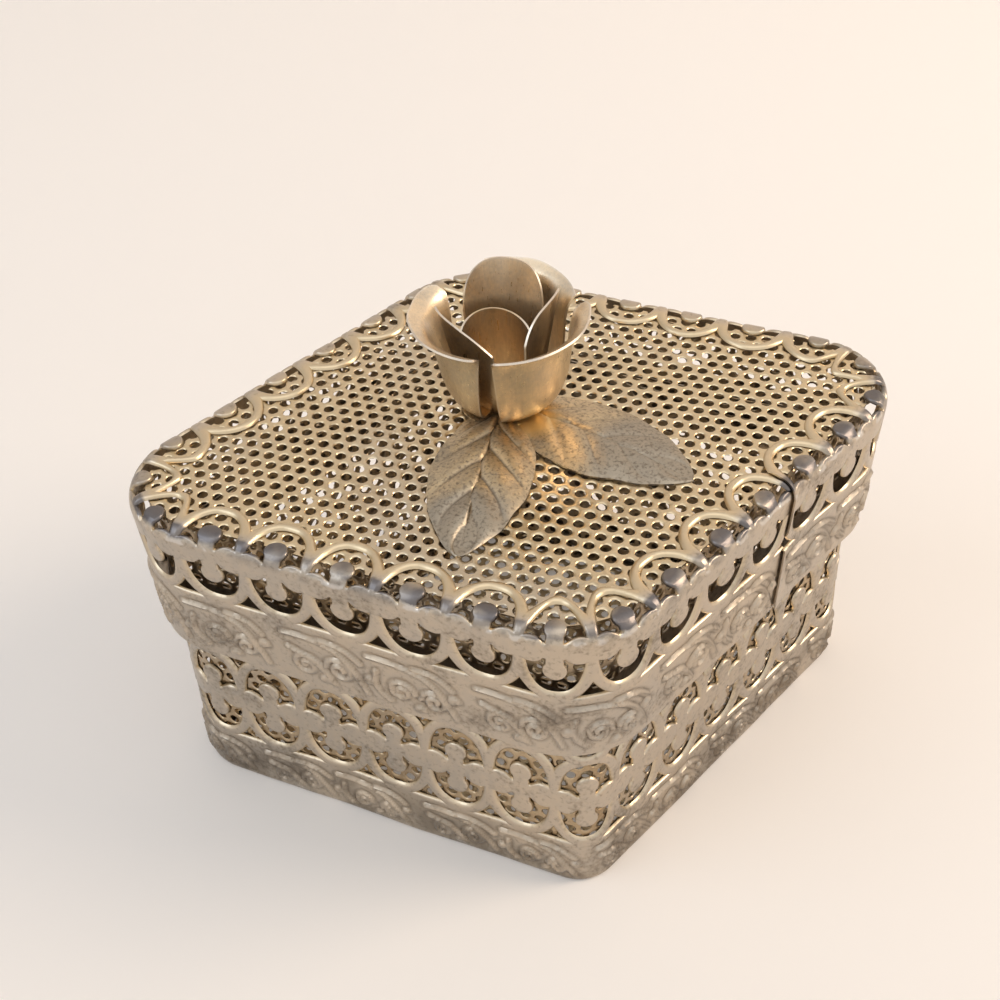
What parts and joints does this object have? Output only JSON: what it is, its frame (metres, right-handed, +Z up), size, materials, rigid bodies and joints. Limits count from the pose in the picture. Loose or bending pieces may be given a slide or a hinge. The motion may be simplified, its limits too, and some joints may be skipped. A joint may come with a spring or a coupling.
{
  "type": "trinket box",
  "caption": "Rhombic openwork metal box with a lift-off lid, perforated linings and a rose knob on the lid.",
  "frame": {"origin": "centre of the underside of the base, on the surface it stands on", "axes": "+Z up; +X along the long diagonal of the rhombic plan; -Y towards the blunt corner that faces the viewer"},
  "size_m": [0.1146, 0.0888, 0.0753],
  "materials": {
    "filigree_metal": "nickel-toned plated brass, stamped, tarnished in patches",
    "perforated_metal": "pale gold plated perforated brass",
    "petal_metal": "brushed plated brass with copper-toned shadows",
    "leaf_metal": "stamped plated brass, speckled tarnish",
    "fastener_metal": "plain brass"
  },
  "bodies": {
    "base": {"base_band": "filigree_metal", "base_liner": "perforated_metal", "base_floor": "perforated_metal"},
    "lid": {"lid_band": "filigree_metal", "lid_liner": "perforated_metal", "lid_sheet": "perforated_metal", "rose_leaves": "leaf_metal", "outer_petal_front": "petal_metal", "outer_petal_back": "petal_metal", "outer_petal_left": "petal_metal", "inner_petal_back": "petal_metal", "inner_petal_right": "petal_metal", "inner_petal_left": "petal_metal", "rose_bud": "petal_metal", "rose_screw": "fastener_metal", "rose_washer": "fastener_metal", "rose_nut": "fastener_metal"}
  },
  "joints": [
    {"name": "lid_lift", "type": "slide", "parent": "base", "child": "lid", "axis": [0, 0, 1], "range_m": [0, 0.04]}
  ]
}
